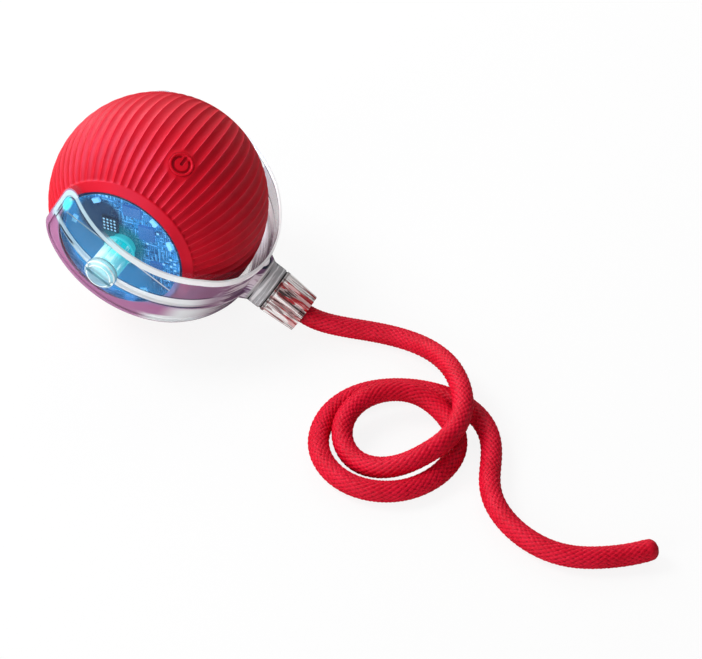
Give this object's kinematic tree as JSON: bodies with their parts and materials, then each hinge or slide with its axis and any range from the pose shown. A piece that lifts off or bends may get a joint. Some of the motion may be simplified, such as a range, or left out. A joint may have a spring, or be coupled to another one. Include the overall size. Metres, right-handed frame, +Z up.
{
  "type": "self-rolling pet toy",
  "caption": "Ribbed silicone ball with a lit core that turns in a clear trailing yoke, whose neck and collar nut hold a braided rope tail.",
  "frame": {"origin": "the point of the floor under the ball's centre", "axes": "+Z up, +Y along the ball's axis of roll, +X to the side that the neck and the rope tail leave by"},
  "size_m": [0.2541, 0.1194, 0.08],
  "materials": {
    "red_silicone": "matte silicone",
    "core_plastic": "moulded, matte",
    "clear_window": "clear, polished",
    "white_acetal": "turned, smooth",
    "board_blue": "solder mask with copper traces",
    "chip_black": "moulded epoxy",
    "led_lens": "clear lens",
    "steel": "plain steel",
    "battery_can": "wrapped can",
    "motor_metal": "plated steel",
    "gear_acetal": "moulded acetal",
    "board_green": "solder mask",
    "clear_yoke": "clear, polished",
    "light_guide": "clear, lit cyan",
    "aluminium": "crimped",
    "seal_rubber": "matte black",
    "clear_collar": "clear, fluted",
    "red_rope": "braided cord"
  },
  "bodies": {
    "yoke": {"yoke": "clear_yoke", "left_pivot_pin": "light_guide", "right_pivot_pin": "light_guide", "left_pivot_cap": "clear_yoke", "right_pivot_cap": "clear_yoke", "drive_gear": "gear_acetal", "rope_ferrule": "aluminium", "rope_collet": "red_silicone", "collar_seal": "seal_rubber", "rope": "red_rope"},
    "ball": {"sleeve": "red_silicone", "left_shell": "core_plastic", "right_shell": "core_plastic", "left_window": "clear_window", "right_window": "clear_window", "left_bushing": "white_acetal", "right_bushing": "white_acetal", "control_board": "board_blue", "light_board": "board_blue", "control_chips": "chip_black", "led_matrix": "chip_black", "board_leds": "led_lens", "usb_socket": "steel", "chassis": "core_plastic", "battery": "battery_can", "motor": "motor_metal", "shell_screws": "steel", "switch_board": "board_green", "tact_switch": "chip_black"},
    "pinion": {"motor_shaft": "steel", "motor_pinion": "gear_acetal"},
    "power_button": {"power_button": "red_silicone"},
    "collar": {"collar_nut": "clear_collar"}
  },
  "joints": [
    {"name": "ball_roll", "type": "hinge", "parent": "yoke", "child": "ball", "pos_m": [0, 0, 0.04], "axis": [0, 1, 0], "continuous": true},
    {"name": "pinion_spin", "type": "hinge", "parent": "ball", "child": "pinion", "pos_m": [0, 0.017, 0.024], "axis": [0, 1, 0], "continuous": true},
    {"name": "power_press", "type": "slide", "parent": "ball", "child": "power_button", "axis": [-0.4576, 0.3411, -0.8211], "range_m": [0, 0.0006], "stiffness_N_per_m": 900},
    {"name": "collar_turn", "type": "hinge", "parent": "yoke", "child": "collar", "pos_m": [0.05196, 0, 0.01], "axis": [0.866, 0, -0.5], "range_deg": [0, 360]}
  ],
  "couplings": [
    {"joint": "pinion_spin", "follows": "ball_roll", "ratio": 3}
  ]
}
